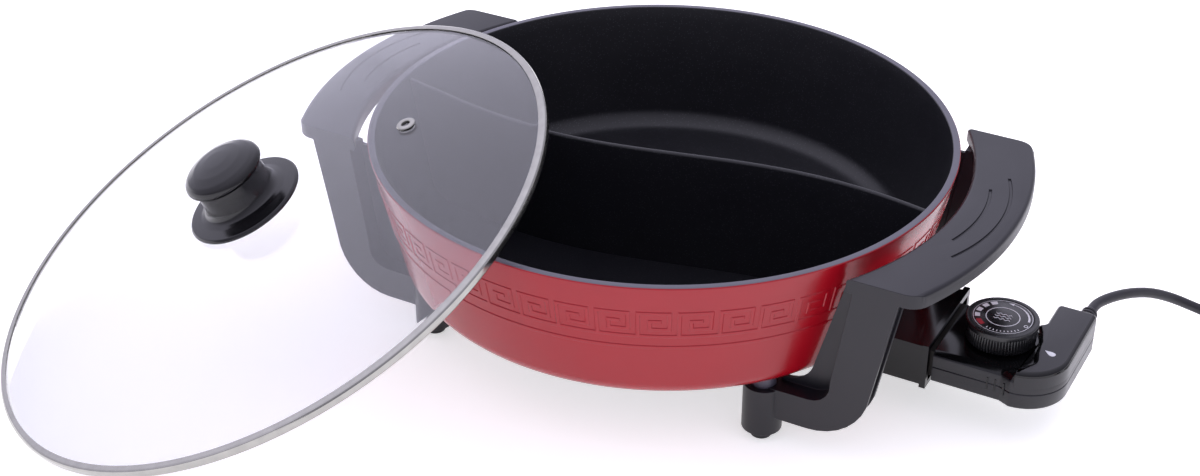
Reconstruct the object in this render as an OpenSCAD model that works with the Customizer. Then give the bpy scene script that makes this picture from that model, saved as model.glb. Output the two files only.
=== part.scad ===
// Round electric griddle pan with a divided well, a glass lid and a plug-in heat controller.
// Origin on the pan's axis at table level: +X to the controller, +Y to the back, +Z up.

/* [Pan] */
// Outer radius of the pan's rim
pan_r = 166; // [140:1:200]
// Height of the rim above the table
pan_top = 120; // [100:1:150]
// Height of the pan's underside above the table
pan_base = 40; // [38:1:50]
// Radius of the flat part of the base
base_r = 136.5; // [112:0.5:150]
// Outer radius between base and wall
corner_r = 14; // [8:1:18]
// Width of the flat rim, which is the wall's thickness there
rim_w = 4.5; // [3:0.5:7]
// Thickness of the pan's floor
floor_t = 5; // [4:0.5:8]
// Inner radius between floor and wall
cove_r = 13; // [6:1:18]

/* [Divider] */
// Thickness of the divider
divider_t = 3; // [2:0.5:5]
// How far the divider's top lies below the rim
divider_drop = 2.5; // [1:0.5:20]
// Sideways swing of the divider's S
divider_swing = 13; // [0:1:30]
// Length of one whole wave of the S
divider_wave = 340; // [300:10:500]

/* [Heater and socket] */
// Radius of the heating ring
heater_r = 92; // [70:1:105]
// Diameter of the heating tube
heater_d = 7.4; // [6:0.2:9]
// Diameter of a terminal pin
pin_d = 4.8; // [4:0.2:6]
// Distance of each pin from the probe
pin_y = 16; // [14.5:0.5:18]
// Diameter of the temperature probe
probe_d = 6.4; // [5:0.2:7]
// Radial clearance of the probe and the pins in what they slide into
plug_gap = 0.1; // [0.02:0.02:0.3]
// Half of the socket shroud's width
shroud_half = 31.5; // [30:0.5:36]

/* [Handles and feet] */
// Gap between the rim and the handle
handle_gap = 7.5; // [4:0.5:15]
// Width of the handle's grip
grip_w = 33.5; // [24:0.5:45]
// Thickness of the grip
grip_t = 8; // [6:0.5:12]
// Half of the handle's length
handle_half = 90; // [80:1:105]
// Depth of a leg, front to back
leg_d = 13.5; // [11:0.5:18]
// Width of a leg at the top
leg_w = 25; // [20:1:30]
// Diameter of the post that carries the pan
post_d = 14; // [11:0.5:15]
// Diameter of a rubber foot
foot_d = 12; // [10:0.5:16]

/* [Lid] */
// How far the lid's edge stands out past the rim
lid_over = 5.5; // [2:0.5:12]
// Rise of the glass at its middle, measured inside
lid_rise = 21.5; // [10:0.5:30]
// Thickness of the glass
glass_t = 3.5; // [3:0.5:5]
// How far up the open lid from its middle the handle's corner touches it
lid_touch = 41.2; // [30:0.1:60]
// Direction that the open lid leans towards
lid_turn = 225.3; // [215:0.1:235]
// Diameter of the knob's foot
knob_d = 67; // [50:1:80]
// Diameter of the knob's cap
cap_d = 46; // [36:1:60]

/* [Controller] */
// Half of the controller's width
ctrl_half = 28.2; // [27.5:0.2:30]
// Wall of the controller's covers
shell_t = 2; // [1.6:0.1:2.4]
// Diameter of the dial
dial_d = 39.4; // [34:0.2:42]
// Diameter of the dial's spindle
spindle_d = 6; // [5:0.2:7]
// Radial running clearance of the spindle
spindle_gap = 0.05; // [0.02:0.01:0.1]

/* [Hidden] */
$fn = 96;

fit = 0.02;                 // radial gap of what is pressed or screwed together
slip = 0.3;                 // radial gap of what is dropped in loosely
eps = 0.01;

// pan
pan_floor = pan_base + floor_t;
cup_d = post_d + 2 * slip;
foot_y = handle_half - 5.4;
foot_x = sqrt(pow(base_r - 2, 2) - pow(foot_y, 2));
post_low = 22.1;

// heater and socket
pin_z = pan_base - 5;
rib_w = heater_d + 5;
cold_d = heater_d - 0.8;    // the unheated ends of the tube
lug_half = 28;
lug_low = pin_z - 6;
lug_end = base_r + 9.5;
heater_turn = asin(pin_y / heater_r);
heater_end = lug_end + 2;
insulator_l = 4;
pin_end = lug_end + 26;
well_d = probe_d + 2 * plug_gap;
sleeve_d = well_d + 2.4;
sleeve_start = lug_end - 46;
shroud_x = lug_end + 0.5;
shroud_l = 30.5;
shroud_low = pin_z - 12.5;
shroud_h = 25;
shroud_t = 2;
shroud_screw_y = pin_y + 7.5;

// handles
handle_in = pan_r + handle_gap;
handle_out = handle_in + grip_w;
handle_top = pan_top - 4;
grip_low = handle_top - grip_t;
grip_round = 12;
leg_in = sqrt(pow(handle_in, 2) - pow(handle_half, 2)) + 4;
leg_out = leg_in + leg_w;
boss_d = cup_d + 7.4;
boss_low = 6;
boss_top = 34.5;
cup_low = 22;
screw_d = 5;
head_d = 9.5;
recess_d = 10.4;
recess_top = 16;

// lid
lid_r = pan_r + lid_over;
band_w = 4.2;
band_low = -0.8;            // the band's lower edge, from the glass's lower edge
glass_r = lid_r - 2;
lid_curve = 2.5;
lid_gap = 4.6;              // under the open lid's low edge
lid_side = 54;
corner = [-sqrt(pow(handle_out, 2) - pow(handle_half, 2)), -handle_half, handle_top];
// height of the handle's corner above the lid's edge plane, and the lean that brings it there
lid_contact = dome(norm([lid_touch, lid_side])) + 0.085;
lid_lift = lid_contact - band_low;
lid_tilt = asin((corner[2] - lid_gap) / norm([lid_r + lid_touch, lid_lift])) - atan(lid_lift / (lid_r + lid_touch));
lid_z = lid_gap + lid_r * sin(lid_tilt) - band_low * cos(lid_tilt);
lid_reach = lid_touch * cos(lid_tilt) - lid_contact * sin(lid_tilt);
lid_pos = [corner[0] + lid_reach * cos(lid_turn) - lid_side * sin(lid_turn),
    corner[1] + lid_reach * sin(lid_turn) + lid_side * cos(lid_turn), lid_z];
vent_r = 97;
vent_turn = 176;
vent_d = 11.5;
vent_hole = 4.6;
crown = lid_rise + glass_t;
knob_screw_d = 5;
seal_t = 1;
knob_low = crown + seal_t;
cap_low = knob_low + 20;

// controller
ctrl_x = lug_end + 32.5;
ctrl_low = pin_z - 11;
ctrl_split = pin_z - 1.5;
deck_low = pin_z + 8.5;
deck_high = pin_z + 12.5;
ctrl_len = 68.5;
tail_w = 22.5;
tail_end = 44;
bend_r = 25;
dial_x = ctrl_x + 27.5;
dial_low = deck_low + 2;
dial_top = dial_low + 12.9;
nose_x = lug_end + 8;
nose_half = 26;
nose_low = pin_z - 9;
nose_top = pin_z + 7;
neck_half = 23.8;
neck_low = pin_z - 7.3;
neck_top = pin_z + 4.8;
socket_d = pin_d + 2 * plug_gap + 2.2;
screw_spots = [[ctrl_x + 11, 21], [ctrl_x + 37.5, -22.5], [ctrl_x + 51, 31]];
small_screw_d = 3;
post_small_d = 7;
blade_y = [-16, -8];

// cord
cord_d = 6;
cord_sides = 10;
relief_x = ctrl_x + ctrl_len - 8.4;
cord_start = [relief_x, tail_end + 18, pin_z + 0.5];
cord_steps = [[0, 0, 0], [1, 10, 0], [6, 23, -1.5], [13.5, 38, -5], [22, 53, -11], [32, 66, -19],
    [45, 75, -27], [60, 79, -32], [78, 78, -32.4], [95, 75, -32.4], [112, 71, -32.4]];
coil_r = 33;
coil_width = 3 * cord_d;    // the cord winds in on the surface and out again on top
coil_out = coil_r + cord_d;
coil_centre = cord_start + cord_steps[len(cord_steps) - 1] - [0, coil_out, 0];
end_start = [coil_centre[0] + coil_out, coil_centre[1], 1.5 * cord_d];
end_steps = [[0, 0, 0], [-0.5, -13, 0.5], [-3.5, -26, 2], [-8, -38, 3.5], [-10, -50, 4]];
plug_pos = end_start + end_steps[len(end_steps) - 1];

// helpers
function arc(c, r, a, b, n) = [for (i = [0:n]) c + r * [cos(a + (b - a) * i / n), sin(a + (b - a) * i / n)]];
function tangent(c, r, p) = atan2(p[1] - c[1], p[0] - c[0]) - acos(r / norm(p - c));
function unit(v) = v / norm(v);

outer_c = [base_r, pan_base + corner_r];
inner_c = [base_r - 2, pan_floor + cove_r];
rim_in = [pan_r - rim_w, pan_top];
outer_wall = concat([[0, pan_base]],
    arc(outer_c, corner_r, -90, tangent(outer_c, corner_r, [pan_r, pan_top]), 7), [[pan_r, pan_top]]);
inner_wall = concat([[0, pan_floor]],
    arc(inner_c, cove_r, -90, tangent(inner_c, cove_r, rim_in), 7), [rim_in]);

module revolve(points) rotate_extrude($fn = 180) polygon(points);
module along_x(x, y, z, d, l) translate([x, y, z]) rotate([0, 90, 0]) cylinder(d = d, h = l);
module at_feet() for (sx = [-1, 1], sy = [-1, 1]) translate([sx * foot_x, sy * foot_y, 0]) children();
module block(low, high) translate(low) cube(high - low);
module lid_place() translate(lid_pos) rotate([0, lid_tilt, lid_turn]) children();

// pan
module pan_body() color("firebrick") difference() {
    union() {
        revolve(concat(outer_wall, [for (i = [len(inner_wall) - 1:-1:0]) inner_wall[i]]));
        rotate_extrude() translate([heater_r - rib_w / 2, pin_z - 3.5])
            square([rib_w, pan_base - pin_z + 4.5]);
        block([heater_r - rib_w / 2, -lug_half, lug_low], [lug_end, lug_half, pan_base + 3]);
        at_feet() translate([0, 0, post_low]) cylinder(d = post_d, h = pan_base + 2 - post_low);
    }
    rotate_extrude() translate([heater_r - heater_d / 2 - slip, lug_low - 1])
        square([heater_d + 2 * slip, pin_z - lug_low + 1 + heater_d / 2 + slip]);
    for (s = [-1, 1]) {
        along_x(heater_r * cos(heater_turn), s * pin_y, pin_z, cold_d + 2 * fit, 80);
        along_x(lug_end - 12, s * shroud_screw_y, pin_z, small_screw_d + 2 * fit, 20);
    }
    along_x(sleeve_start, 0, pin_z, sleeve_d + 2 * fit, 60);
    at_feet() translate([0, 0, post_low - 1]) cylinder(d = screw_d + 2 * fit, h = 17);
}

divider_low = pan_floor + 0.05;
divider_top = pan_top - divider_drop;
divider_x = 20;
divider_y = -16.5;
function divider_at(x) = divider_y + divider_swing * sin(360 * (x - divider_x) / divider_wave);
function inner_r(z) = rim_in[0] - (pan_top - z) * tan(-tangent(inner_c, cove_r, rim_in));
function wall_end(s, z, x = 100, n = 6) = n == 0 ? s * x
    : wall_end(s, z, sqrt(pow(inner_r(z) - 0.4, 2) - pow(divider_at(s * x), 2)), n - 1);
module divider() color("dimgray") difference() {
    x0 = wall_end(-1, divider_top);
    x1 = wall_end(1, divider_top);
    spine = [for (i = [0:24]) let (x = x0 + (x1 - x0) * i / 24) [x, divider_at(x)]];
    edge = [0, divider_t / 2];
    translate([0, 0, divider_low]) linear_extrude(divider_top - divider_low)
        polygon(concat([for (q = spine) q - edge], [for (i = [24:-1:0]) spine[i] + edge]));
    // what lies past the pan's coved wall
    rotate_extrude($fn = 180) polygon(concat([for (q = inner_wall) if (q[0] > 0) q - [0.15, -0.02]],
        [[pan_r + 20, pan_top], [pan_r + 20, pan_base], [base_r - 2, pan_base]]));
}

// heater and socket
module heating_element() color("darkgray") {
    start = heater_r * cos(heater_turn) - 1;
    rotate([0, 0, heater_turn]) rotate_extrude(angle = 360 - 2 * heater_turn)
        translate([heater_r, pin_z]) circle(d = heater_d, $fn = 32);
    for (s = [-1, 1]) along_x(start, s * pin_y, pin_z, cold_d, heater_end - start);
}
module terminal_pins() color("silver") for (s = [-1, 1]) {
    along_x(heater_end, s * pin_y, pin_z, pin_d, pin_end - heater_end - 1);
    translate([pin_end - 1, s * pin_y, pin_z]) rotate([0, 90, 0]) cylinder(d1 = pin_d, d2 = pin_d - 2, h = 1);
}
module terminal_insulators() color("ivory") for (s = [-1, 1]) difference() {
    along_x(heater_end, s * pin_y, pin_z, cold_d, insulator_l);
    along_x(heater_end - 1, s * pin_y, pin_z, pin_d + 2 * fit, insulator_l + 2);
}
module probe_well() color("goldenrod") difference() {
    along_x(sleeve_start + 0.5, 0, pin_z, sleeve_d, lug_end + 3.5 - sleeve_start);
    along_x(sleeve_start + 2.5, 0, pin_z, well_d, 60);
}
module earth_tab() color("silver") difference() {
    block([lug_end - 14, -4, lug_low - 1], [lug_end - 2, 4, lug_low]);
    translate([lug_end - 6, 0, lug_low - 2]) cylinder(d = 3, h = 3);
}
module socket_shroud() color("#181818") difference() {
    union() {
        block([shroud_x, -shroud_half, shroud_low], [shroud_x + shroud_l, shroud_half, shroud_low + shroud_h]);
        block([shroud_x + shroud_l - 3.5, -shroud_half - 1.5, shroud_low - 1],
            [shroud_x + shroud_l, shroud_half + 1.5, shroud_low + shroud_h + 1.5]);
    }
    block([shroud_x + shroud_t, shroud_t - shroud_half, shroud_low + shroud_t],
        [shroud_x + shroud_l + 1, shroud_half - shroud_t, shroud_low + shroud_h - shroud_t]);
    for (s = [-1, 1]) {
        along_x(shroud_x - 1, s * pin_y, pin_z, heater_d + 1, 4);
        along_x(shroud_x - 1, s * shroud_screw_y, pin_z, small_screw_d + 2 * slip, 4);
    }
    along_x(shroud_x - 1, 0, pin_z, sleeve_d + 1, 4);
    // room for the pan's wall
    revolve(concat([for (q = outer_wall) [q[0] > 0 ? q[0] + 0.2 : 0, q[1] - 0.2]], [[0, pan_top]]));
}
module shroud_screws() color("silver") for (s = [-1, 1]) {
    along_x(lug_end - 10, s * shroud_screw_y, pin_z, small_screw_d, 10.5 + shroud_t);
    along_x(shroud_x + shroud_t, s * shroud_screw_y, pin_z, 5.4, 2);
}

// handles
module grip() {
    edge = 2.4;
    intersection() {
        rotate([0, 0, -40]) rotate_extrude(angle = 80, $fn = 180) polygon(concat(
            [[handle_in, grip_low], [handle_out, grip_low]],
            arc([handle_out - edge, handle_top - edge], edge, 0, 90, 4),
            arc([handle_in + edge, handle_top - edge], edge, 90, 180, 4)));
        translate([0, 0, grip_low - 1]) linear_extrude(grip_t + 2) {
            // the corner arcs touch the outer arc and the end faces
            round_y = handle_half - grip_round;
            round_x = sqrt(pow(handle_out - grip_round, 2) - pow(round_y, 2));
            touch_y = round_y * handle_out / (handle_out - grip_round);
            translate([0, -handle_half]) square([round_x, 2 * handle_half]);
            translate([0, -touch_y]) square([handle_out + 1, 2 * touch_y]);
            for (s = [-1, 1]) translate([round_x, s * round_y]) circle(r = grip_round);
        }
    }
}
bend_c = [leg_in - 20, 47];
leg_outline = concat([[leg_in, grip_low + 1], [leg_in - 8.5, 50]], arc(bend_c, 11.5, 5, -90, 5),
    [[foot_x, 35 - eps], [foot_x, 16.5 + eps]], arc(bend_c + [0, 3], 33.5, -90, -5, 8),
    [[leg_out, grip_low + 1]]);
groove = concat([[leg_in + 5, grip_low - 1], [leg_in - 3.5, 50]], arc(bend_c, 17, 0, -50, 4),
    arc(bend_c + [0, 3], 45, -52, -5, 4), [[leg_out + 12, grip_low - 1]]);
// thin wall that closes the space between a leg and the pan
module web() difference() {
    translate([0, leg_d - handle_half - 0.5, 0]) rotate([90, 0, 0]) linear_extrude(2.5) polygon(concat(
        [[leg_in + 1, grip_low - 1], [leg_in - 7.5, 50]], arc(bend_c, 12.5, 5, -90, 5),
        [[foot_x + boss_d / 2 - 3, 34], [foot_x + boss_d / 2 - 3, grip_low - 1]]));
    revolve(concat([for (q = outer_wall) [q[0] > 0 ? q[0] + 2 : 0, q[1] - 2]], [[0, pan_top]]));
}
module handle() difference() {
    union() {
        grip();
        for (s = [-1, 1]) scale([1, s, 1]) {
            web();
            translate([0, leg_d - handle_half, 0]) rotate([90, 0, 0]) linear_extrude(leg_d) polygon(leg_outline);
            translate([foot_x, -foot_y, boss_low]) cylinder(d = boss_d, h = boss_top - boss_low);
        }
    }
    for (s = [-1, 1]) scale([1, s, 1]) {
        translate([0, leg_d - handle_half - 2.5, 0]) rotate([90, 0, 0])
            linear_extrude(leg_d - 5) polygon(groove);
        translate([foot_x, -foot_y, cup_low]) cylinder(d = cup_d, h = 40);
        translate([foot_x, -foot_y, 0]) cylinder(d = recess_d, h = recess_top);
        translate([foot_x, -foot_y, 0]) cylinder(d = screw_d + 2 * slip, h = 40);
    }
    // finger grooves on the grip
    for (g = [[handle_in + 13, 95, 18], [handle_in + 24, 103, 26]])
        translate([g[0] - g[1], 0, handle_top - 0.8]) rotate([0, 0, -g[2]])
            rotate_extrude(angle = 2 * g[2]) translate([g[1], 0]) square([1.6, 2]);
}
module handle_right() color("#4a4856") handle();
module handle_left() color("#4a4856") rotate([0, 0, 180]) handle();
module handle_screws() color("silver") at_feet() {
    translate([0, 0, recess_top - 1]) cylinder(d = screw_d, h = 20);
    translate([0, 0, recess_top - 4.5]) cylinder(d = head_d, h = 3.5);
}
module handle_washers() color("gainsboro") at_feet() difference() {
    translate([0, 0, recess_top - 1]) cylinder(d = recess_d - 0.6, h = 1);
    translate([0, 0, recess_top - 2]) cylinder(d = screw_d + 2 * fit, h = 3);
}
module foot(sx, sy) color("#202020") translate([sx * foot_x, sy * foot_y, 0]) {
    cylinder(d = foot_d, h = boss_low - 0.1);
    translate([0, 0, 1]) cylinder(d = recess_d - 2 * fit, h = recess_top - 6);
}
module foot_front_right() foot(1, -1);
module foot_front_left() foot(-1, -1);
module foot_rear_right() foot(1, 1);
module foot_rear_left() foot(-1, 1);

// lid, drawn level about its own axis and leaned by lid_place
function dome(r) = lid_rise * (1 - pow(r / glass_r, lid_curve));
dome_r = [for (i = [0:12]) glass_r * i / 12];
module lid_glass() color("#cfe0e8", 0.4) lid_place() difference() {
    revolve(concat([for (r = dome_r) [r, dome(r)]], [for (i = [12:-1:0]) [dome_r[i], dome(dome_r[i]) + glass_t]]));
    cylinder(d = knob_screw_d + 2 * slip + 2, h = 60, center = true);
    rotate([0, 0, vent_turn]) translate([vent_r, 0, 0]) cylinder(d = vent_hole + 2.8, h = 60, center = true);
}
module lid_rim() color("silver") lid_place() {
    lip = dome(lid_r - band_w) + glass_t + 0.1;
    revolve([[lid_r - band_w, lip], [lid_r - band_w, lip + 0.6], [lid_r - 1.4, glass_t + 1.1],
        [lid_r - 0.4, glass_t + 0.6], [lid_r, glass_t - 0.4], [lid_r, band_low + 1],
        [lid_r - 0.4, band_low + 0.3], [lid_r - 1.2, band_low], [lid_r - band_w, band_low],
        [lid_r - band_w, -0.1], [glass_r + 0.1, -0.1], [glass_r + 0.1, glass_t + 0.1]]);
}
vent_z = dome(vent_r) + glass_t;
vent_lean = atan(lid_rise * lid_curve * pow(vent_r / glass_r, lid_curve - 1) / glass_r);
module lid_vent() color("silver") lid_place() rotate([0, 0, vent_turn]) translate([vent_r, 0, vent_z])
    rotate([0, vent_lean, 0]) difference() {
        union() {
            translate([0, 0, 0.1]) cylinder(d = vent_d, h = 1.2);
            translate([0, 0, -glass_t - 1.3]) cylinder(d = vent_hole + 1.6, h = glass_t + 2);
            translate([0, 0, -glass_t - 1.3]) cylinder(d = vent_d - 2, h = 1.1);
        }
        cylinder(d = vent_hole, h = 30, center = true);
    }
module knob_base() color("#202024") lid_place() difference() {
    revolve([[0, knob_low], [knob_d / 2 - 8, knob_low], [knob_d / 2 - 0.8, knob_low - 0.4],
        [knob_d / 2, knob_low + 0.6], [knob_d / 2 - 0.8, knob_low + 2], [knob_d / 2 - 6, knob_low + 2.6],
        [22, knob_low + 3.6], [20.5, knob_low + 6], [19.5, cap_low], [0, cap_low]]);
    cylinder(d = knob_screw_d + 2 * slip, h = 80);
    translate([0, 0, knob_low + 3]) cylinder(r = 17, h = 30);
}
module knob_cap() color("#303036") lid_place() difference() {
    revolve([[0, cap_low + 0.05], [cap_d / 2 - 2, cap_low + 0.05], [cap_d / 2, cap_low + 2.6],
        [cap_d / 2 - 0.8, cap_low + 5], [cap_d / 2 - 3.5, cap_low + 7.5],
        [cap_d / 2 - 9, cap_low + 9.8], [cap_d / 2 - 16, cap_low + 11], [0, cap_low + 11.4]]);
    translate([0, 0, cap_low - 1]) cylinder(d = knob_screw_d + 2 * fit, h = 8);
}
module knob_screw() color("silver") lid_place() {
    translate([0, 0, lid_rise - seal_t]) cylinder(d = knob_screw_d, h = cap_low + 5 - lid_rise);
    translate([0, 0, lid_rise - seal_t - 2.5]) cylinder(d = 11, h = 2.5);
}
module knob_seals() color("dimgray") lid_place() difference() {
    union() {
        translate([0, 0, lid_rise - seal_t]) cylinder(d = 15, h = seal_t - 0.02);
        translate([0, 0, crown + 0.02]) cylinder(d = 24, h = seal_t - 0.04);
    }
    cylinder(d = knob_screw_d + 2 * fit, h = 60);
}

// controller
module plan(i = 0) {
    translate([ctrl_x + i, i - ctrl_half]) square([42 - i, 2 * (ctrl_half - i) - 1]);
    translate([ctrl_x + ctrl_len - bend_r, bend_r - ctrl_half - 2.8]) circle(r = bend_r - i);
    translate([ctrl_x + ctrl_len - tail_w + i, -7]) square([tail_w - 2 * i, tail_end + 7 - i]);
    translate([ctrl_x + 40, i - ctrl_half + 0.5]) square([10, 45]);
}
module raised(i) intersection() {
    plan(i);
    translate([ctrl_x + 43 + i, -60]) square([80, 120]);
}
module layer(low, high) translate([0, 0, low]) linear_extrude(high - low) children();
module neck_gap() block([ctrl_x - 1, -neck_half, neck_low], [ctrl_x + shell_t + 0.5, neck_half, neck_top]);
module screw_posts(low, high) for (q = screw_spots)
    translate([q[0], q[1], low]) cylinder(d = post_small_d, h = high - low);
module relief_gap() translate([relief_x, tail_end + 1, cord_start[2]])
    rotate([90, 0, 0]) cylinder(d = 10.2, h = shell_t + 2);
module controller_bottom() color("#26242c") difference() {
    union() {
        difference() {
            layer(ctrl_low, ctrl_split - 0.05) plan();
            layer(ctrl_low + shell_t, ctrl_split + 1) plan(shell_t);
        }
        screw_posts(ctrl_low + 1, ctrl_split - 0.05);
    }
    neck_gap();
    relief_gap();
    for (q = screw_spots) translate([q[0], q[1], 0]) {
        cylinder(d = small_screw_d + 2 * slip, h = 60);
        cylinder(d = 6.2, h = ctrl_low + 4);
    }
}
module controller_top() color("#26242c") difference() {
    union() {
        difference() {
            union() {
                layer(ctrl_split, deck_low) plan();
                layer(deck_low - 1, deck_high) raised(0);
            }
            layer(ctrl_split - 1, deck_low - shell_t) plan(shell_t);
            layer(deck_low - 3, deck_high - shell_t) intersection() {
                raised(shell_t);
                translate([ctrl_x + 50, -60]) square([80, 120]);
            }
        }
        screw_posts(ctrl_split, deck_low - 1);
    }
    translate([dial_x, 0, deck_low]) cylinder(d = dial_d + 1.6, h = 20);
    translate([dial_x, 0, 0]) cylinder(d = spindle_d + 2 * spindle_gap, h = 80);
    neck_gap();
    relief_gap();
    for (q = screw_spots) translate([q[0], q[1], 0]) cylinder(d = small_screw_d + 2 * fit, h = deck_low - 3);
}
module controller_nose() color("#34302c") difference() {
    union() {
        block([nose_x, -nose_half, nose_low], [ctrl_x - 0.3, nose_half, nose_top]);
        block([nose_x + 1, 0.2 - neck_half, neck_low + 0.2], [ctrl_x + shell_t + 2.3, neck_half - 0.2, neck_top - 0.2]);
        block([ctrl_x + shell_t + 0.3, -ctrl_half + shell_t + 1, ctrl_low + shell_t + 0.3],
            [ctrl_x + shell_t + 2.3, ctrl_half - shell_t - 1.6, deck_low - shell_t - 0.3]);
    }
    for (s = [-1, 1]) along_x(nose_x - 1, s * pin_y, pin_z, socket_d + 2 * fit, 50);
    along_x(nose_x - 1, 0, pin_z, probe_d + 2 * fit, 50);
}
module contact_sockets() color("goldenrod") for (s = [-1, 1]) difference() {
    along_x(nose_x + 0.5, s * pin_y, pin_z, socket_d, ctrl_x + 6 - nose_x);
    along_x(nose_x - 1, s * pin_y, pin_z, pin_d + 2 * plug_gap, ctrl_x + 3 - nose_x);
}
module sensing_probe() color("gainsboro") {
    along_x(sleeve_start + 6, 0, pin_z, probe_d, ctrl_x + 8 - sleeve_start - 6);
    translate([sleeve_start + 6, 0, pin_z]) sphere(d = probe_d, $fn = 32);
}
frame_x = ctrl_x + 10;
frame_low = ctrl_low + shell_t + 1;
frame_top = deck_low - shell_t - 1.5;
module thermostat_frame() color("lightgray") difference() {
    union() {
        block([frame_x, -17, frame_low], [frame_x + 32, 9, frame_low + 1.2]);
        block([frame_x, -17, frame_low], [frame_x + 1.2, 9, frame_top]);
        block([frame_x, -6, frame_top - 1.2], [frame_x + 26, 9, frame_top]);
    }
    translate([dial_x, 0, frame_low + 3]) cylinder(d = spindle_d + 2 * spindle_gap, h = 20);
}
blade_z = frame_low + 4.2;
strip_z = frame_low + 8;
module bimetal_strip() color("peru")
    block([frame_x + 2, blade_y[0], strip_z], [frame_x + 31, blade_y[1], strip_z + 0.8]);
module contact_blade() color("sandybrown")
    block([frame_x + 2, blade_y[0], blade_z], [frame_x + 31, blade_y[1], blade_z + 0.6]);
module contact_rivets() color("silver") translate([frame_x + 28, (blade_y[0] + blade_y[1]) / 2, 0]) {
    translate([0, 0, blade_z + 0.6]) cylinder(d = 3.6, h = 1.2);
    translate([0, 0, strip_z - 1.2]) cylinder(d = 3.6, h = 1.2);
}
module ceramic_spacers() color("ivory")
    for (z = [[frame_low + 1.2, blade_z], [blade_z + 0.6, strip_z], [strip_z + 0.8, strip_z + 2.8]])
        block([frame_x + 3, blade_y[0] + 0.5, z[0]], [frame_x + 9, blade_y[1] - 0.5, z[1]]);
module wire_terminals() color("goldenrod") for (s = [0, 1]) difference() {
    translate([ctrl_x + 48 + 8 * s, 8, frame_low]) cube([5, 8, 7]);
    translate([ctrl_x + 50.5 + 8 * s, 5, frame_low + 3]) rotate([-90, 0, 0]) cylinder(d = 2.6, h = 20);
}
module controller_screws() color("silver") for (q = screw_spots) translate([q[0], q[1], 0]) {
    translate([0, 0, ctrl_low + 1]) cylinder(d = 5.6, h = 3);
    translate([0, 0, ctrl_low + 4]) cylinder(d = small_screw_d, h = deck_low - ctrl_low - 8);
}

// dial
module dial() color("#141416") translate([dial_x, 0, 0]) difference() {
    union() {
        translate([0, 0, dial_low]) cylinder(d = dial_d - 2, h = 10);
        translate([0, 0, dial_low + 9.4]) cylinder(d = dial_d, h = dial_top - dial_low - 9.4);
    }
    translate([0, 0, dial_top - 0.6]) cylinder(d = dial_d - 6, h = 2);
    translate([0, 0, dial_low - 1]) cylinder(d = spindle_d + 2 * fit, h = 10);
    translate([0, 0, dial_low - 1]) difference() {
        cylinder(d = dial_d - 6, h = 8);
        cylinder(d = 14, h = 8);
    }
}
module dial_face() color("#303034") translate([dial_x, 0, dial_top - 0.58])
    cylinder(d = dial_d - 6.2, h = 0.5);
module dial_spindle() color("silver") translate([dial_x, 0, frame_low + 2])
    cylinder(d = spindle_d, h = dial_low + 8.9 - frame_low - 2);
module spindle_clip() color("gray") translate([dial_x, 0, frame_top - 2.3]) difference() {
    cylinder(d = 10, h = 0.8);
    translate([0, 0, -1]) cylinder(d = spindle_d + 2 * fit, h = 3);
}
module thermostat_cam() color("beige") translate([dial_x, 0, frame_low + 2.5]) difference() {
    hull() {
        cylinder(d = 11, h = 4, $fn = 32);
        translate([1.6, 0, 0]) cylinder(d = 9, h = 4, $fn = 32);
    }
    translate([0, 0, -1]) cylinder(d = spindle_d + 2 * fit, h = 6);
}

// cord and plug
module cord_relief() color("#26242c") translate([relief_x, tail_end, cord_start[2]]) rotate([-90, 0, 0]) {
    translate([0, 0, -shell_t - 2]) cylinder(d = 12.4, h = 1.8);
    translate([0, 0, -shell_t - 1]) cylinder(d = 10, h = shell_t + 2);
    translate([0, 0, 0.2]) cylinder(d = 12.4, h = 3);
    for (i = [0:3]) translate([0, 0, 4.4 + 3.2 * i]) cylinder(d = 11 - 0.6 * i, h = 2);
    cylinder(d1 = 9, d2 = cord_d + 1.2, h = cord_start[1] - tail_end);
}
// one ring of points at each step of a route, square to the path there
function ring(p, t) = let (side = unit(cross(t, [0, 0, 1])), up = cross(side, t))
    [for (k = [0:cord_sides - 1]) let (a = 360 * k / cord_sides)
        p + cord_d / 2 * (cos(a) * side + sin(a) * up)];
function heading(q, i) = unit(q[min(i + 1, len(q) - 1)] - q[max(i - 1, 0)]);
module tube(q, first, last) {
    n = cord_sides;
    m = len(q) - 1;
    turns = [for (i = [0:m]) i == 0 ? first : i == m ? last : heading(q, i)];
    points = [for (i = [0:m]) each ring(q[i], turns[i])];
    sides = [for (i = [0:m - 1], k = [0:n - 1]) let (a = i * n + k, b = i * n + (k + 1) % n)
        each [[a, b, b + n], [a, b + n, a + n]]];
    polyhedron(points, concat(sides, [[for (k = [n - 1:-1:0]) k]], [[for (k = [0:n - 1]) m * n + k]]));
}
module power_cord() color("#2c2c34") tube([for (s = cord_steps) cord_start + s], [0, 1, 0], [1, 0, 0]);
module cord_coil() color("#2c2c34") translate([coil_centre[0], coil_centre[1], 0]) rotate_extrude()
    translate([coil_r - coil_width / 2, 0.05]) square([coil_width, 2 * cord_d]);
module cord_end() color("#2c2c34") tube([for (s = end_steps) end_start + s], [0, -1, 0], [0, -1, 0]);
module plug_body() color("#2c2c34") translate(plug_pos) rotate([90, 0, 0]) {
    cylinder(d1 = 8, d2 = 12, h = 18);
    translate([0, 0, 18]) linear_extrude(30) {
        square([26, 16], center = true);
        square([16, 25.6], center = true);
        for (x = [-1, 1], y = [-1, 1]) translate([8 * x, 7.8 * y]) circle(r = 5);
    }
}
module plug_pins() color("goldenrod") translate(plug_pos - [0, 48, 0]) rotate([90, 0, 0]) {
    for (s = [-1, 1]) translate([6.35 * s - 0.75, 1.8, 0]) cube([1.5, 6.3, 17]);
    translate([0, -6.9, 0]) cylinder(d = 4.8, h = 19);
}

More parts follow.
